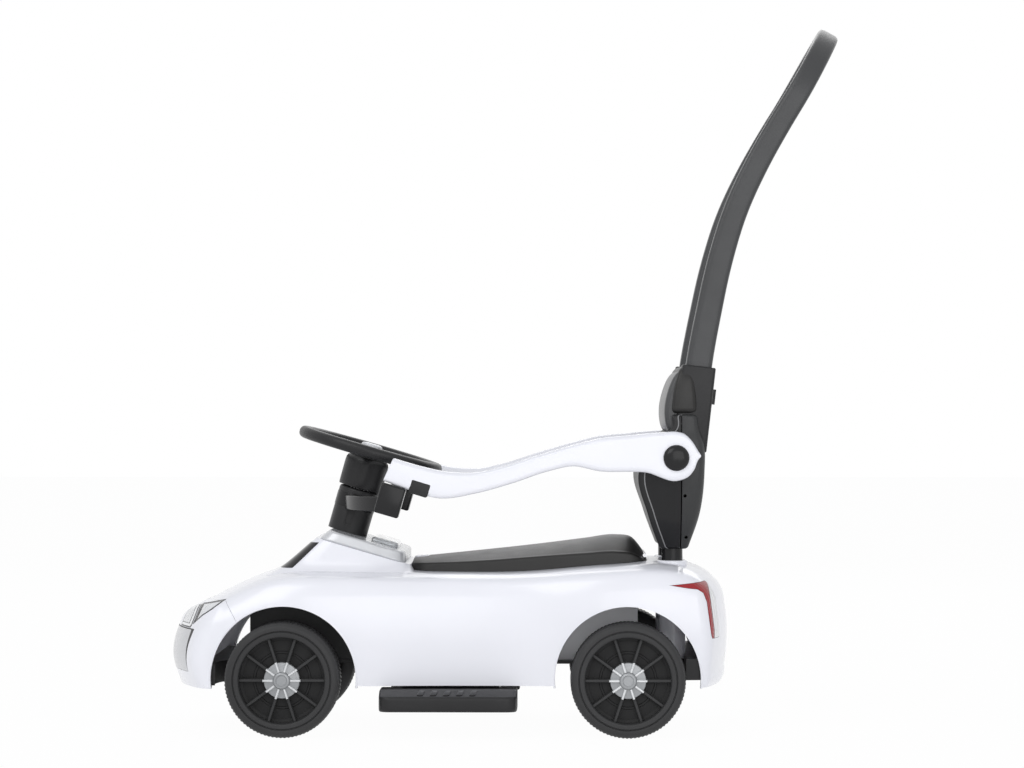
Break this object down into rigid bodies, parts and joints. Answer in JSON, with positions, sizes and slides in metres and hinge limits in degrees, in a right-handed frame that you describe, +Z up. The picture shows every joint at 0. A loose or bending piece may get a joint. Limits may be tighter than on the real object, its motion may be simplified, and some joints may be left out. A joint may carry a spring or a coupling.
{
  "type": "push car with handle",
  "caption": "Ride-on toy car with steering, a lifting seat over a storage bin, swinging guard arms, sliding footrests, a backrest and a tall lift-out push handle.",
  "frame": {"origin": "on the ground, under the middle of the overall box", "axes": "+Z up, -X forwards, -Y to the car's left"},
  "size_m": [0.9004, 0.38, 0.9437],
  "materials": {
    "body_white": "gloss moulded",
    "black_plastic": "satin moulded with a fine grain",
    "wheel_black": "satin moulded with a ribbed tread",
    "hub_grey": "satin moulded",
    "silver": "silver painted",
    "lens_red": "gloss tinted",
    "lens_clear": "gloss",
    "gloss_black": "gloss",
    "inner_grey": "satin moulded",
    "steel": "bright zinc",
    "circuit": "potted board"
  },
  "bodies": {
    "body": {"body_shell": "body_white", "chassis_floor": "black_plastic", "storage_bin": "inner_grey", "windscreen": "gloss_black", "front_grille": "silver", "headlight_left": "lens_clear", "headlight_right": "lens_clear", "tail_light_left": "lens_red", "tail_light_right": "lens_red", "dash_plate": "silver", "dash_lens": "lens_clear", "column_housing": "black_plastic", "guard_bracket": "black_plastic", "shaft_bush": "inner_grey", "steering_tower": "black_plastic", "front_axle_beam": "black_plastic", "kingpins": "steel", "front_brace": "black_plastic", "rear_brace": "black_plastic", "rear_axle_carrier": "black_plastic", "rear_axle": "steel", "rear_push_nuts": "steel", "footrest_carrier": "black_plastic", "backrest_rear": "black_plastic", "backrest_front": "black_plastic", "headrest_cap": "black_plastic", "backrest_posts": "black_plastic", "handle_sleeves": "black_plastic", "pivot_knobs": "black_plastic", "seat_hinge_pin": "steel", "floor_screws": "steel", "backrest_screws": "steel"},
    "steering": {"steering_wheel": "black_plastic", "steering_hub": "black_plastic", "steering_shaft": "steel", "steering_crank": "steel", "sound_module": "circuit", "battery_cover": "black_plastic"},
    "horn": {"horn_button": "lens_clear"},
    "tie_rod": {"tie_rod": "steel"},
    "push_handle": {"push_handle": "black_plastic"},
    "seat_lid": {"seat_lid": "black_plastic"},
    "knuckle_left": {"knuckle_left": "steel", "front_push_nut_left": "steel"},
    "front_wheel_left": {"front_wheel_left": "wheel_black", "front_hub_cap_left": "hub_grey"},
    "rear_wheel_left": {"rear_wheel_left": "wheel_black", "rear_hub_cap_left": "hub_grey"},
    "guard_arm_left": {"guard_arm_left": "body_white"},
    "handle_button_left": {"handle_button_left": "black_plastic"},
    "footrest_left": {"footrest_left": "black_plastic"},
    "knuckle_right": {"knuckle_right": "steel", "front_push_nut_right": "steel"},
    "front_wheel_right": {"front_wheel_right": "wheel_black", "front_hub_cap_right": "hub_grey"},
    "rear_wheel_right": {"rear_wheel_right": "wheel_black", "rear_hub_cap_right": "hub_grey"},
    "guard_arm_right": {"guard_arm_right": "body_white"},
    "handle_button_right": {"handle_button_right": "black_plastic"},
    "footrest_right": {"footrest_right": "black_plastic"}
  },
  "joints": [
    {"name": "steering_turn", "type": "hinge", "parent": "body", "child": "steering", "pos_m": [-0.184, 0, 0.3715], "axis": [0.2756, 0, 0.9613], "range_deg": [-25, 25]},
    {"name": "horn_press", "type": "slide", "parent": "steering", "child": "horn", "axis": [-0.2756, 0, -0.9613], "range_m": [0, 0.002]},
    {"name": "seat_lift", "type": "hinge", "parent": "body", "child": "seat_lid", "pos_m": [0.186, 0, 0.2322], "axis": [0, 1, 0], "range_deg": [0, 20]},
    {"name": "handle_lift", "type": "slide", "parent": "body", "child": "push_handle", "axis": [0.1132, 0, 0.9936], "range_m": [0, 0.09]},
    {"name": "knuckle_left_turn", "type": "hinge", "parent": "body", "child": "knuckle_left", "pos_m": [-0.289, -0.128, 0.075], "axis": [0, 0, 1], "range_deg": [-25, 25]},
    {"name": "front_wheel_left_spin", "type": "hinge", "parent": "knuckle_left", "child": "front_wheel_left", "pos_m": [-0.289, -0.15, 0.075], "axis": [0, 1, 0], "continuous": true},
    {"name": "rear_wheel_left_spin", "type": "hinge", "parent": "body", "child": "rear_wheel_left", "pos_m": [0.161, -0.15, 0.075], "axis": [0, 1, 0], "continuous": true},
    {"name": "guard_arm_left_swing", "type": "hinge", "parent": "body", "child": "guard_arm_left", "pos_m": [0.2244, -0.14, 0.3638], "axis": [0, 1, 0], "range_deg": [0, 85]},
    {"name": "handle_button_left_press", "type": "slide", "parent": "body", "child": "handle_button_left", "axis": [-0.9936, 0, 0.1132], "range_m": [0, 0.003]},
    {"name": "footrest_left_slide", "type": "slide", "parent": "body", "child": "footrest_left", "axis": [0, 1, 0], "range_m": [0, 0.035]},
    {"name": "knuckle_right_turn", "type": "hinge", "parent": "body", "child": "knuckle_right", "pos_m": [-0.289, 0.128, 0.075], "axis": [0, 0, 1], "range_deg": [-25, 25]},
    {"name": "front_wheel_right_spin", "type": "hinge", "parent": "knuckle_right", "child": "front_wheel_right", "pos_m": [-0.289, 0.15, 0.075], "axis": [0, 1, 0], "continuous": true},
    {"name": "rear_wheel_right_spin", "type": "hinge", "parent": "body", "child": "rear_wheel_right", "pos_m": [0.161, 0.15, 0.075], "axis": [0, 1, 0], "continuous": true},
    {"name": "guard_arm_right_swing", "type": "hinge", "parent": "body", "child": "guard_arm_right", "pos_m": [0.2244, 0.14, 0.3638], "axis": [0, 1, 0], "range_deg": [0, 85]},
    {"name": "handle_button_right_press", "type": "slide", "parent": "body", "child": "handle_button_right", "axis": [-0.9936, 0, 0.1132], "range_m": [0, 0.003]},
    {"name": "footrest_right_slide", "type": "slide", "parent": "body", "child": "footrest_right", "axis": [0, -1, 0], "range_m": [0, 0.035]},
    {"name": "tie_rod_swing", "type": "hinge", "parent": "knuckle_left", "child": "tie_rod", "pos_m": [-0.253, -0.128, 0.057], "axis": [0, 0, 1], "range_deg": [-25, 25]}
  ],
  "couplings": [
    {"joint": "knuckle_left_turn", "follows": "steering_turn", "ratio": 1},
    {"joint": "knuckle_right_turn", "follows": "steering_turn", "ratio": 1},
    {"joint": "tie_rod_swing", "follows": "steering_turn", "ratio": -1}
  ]
}
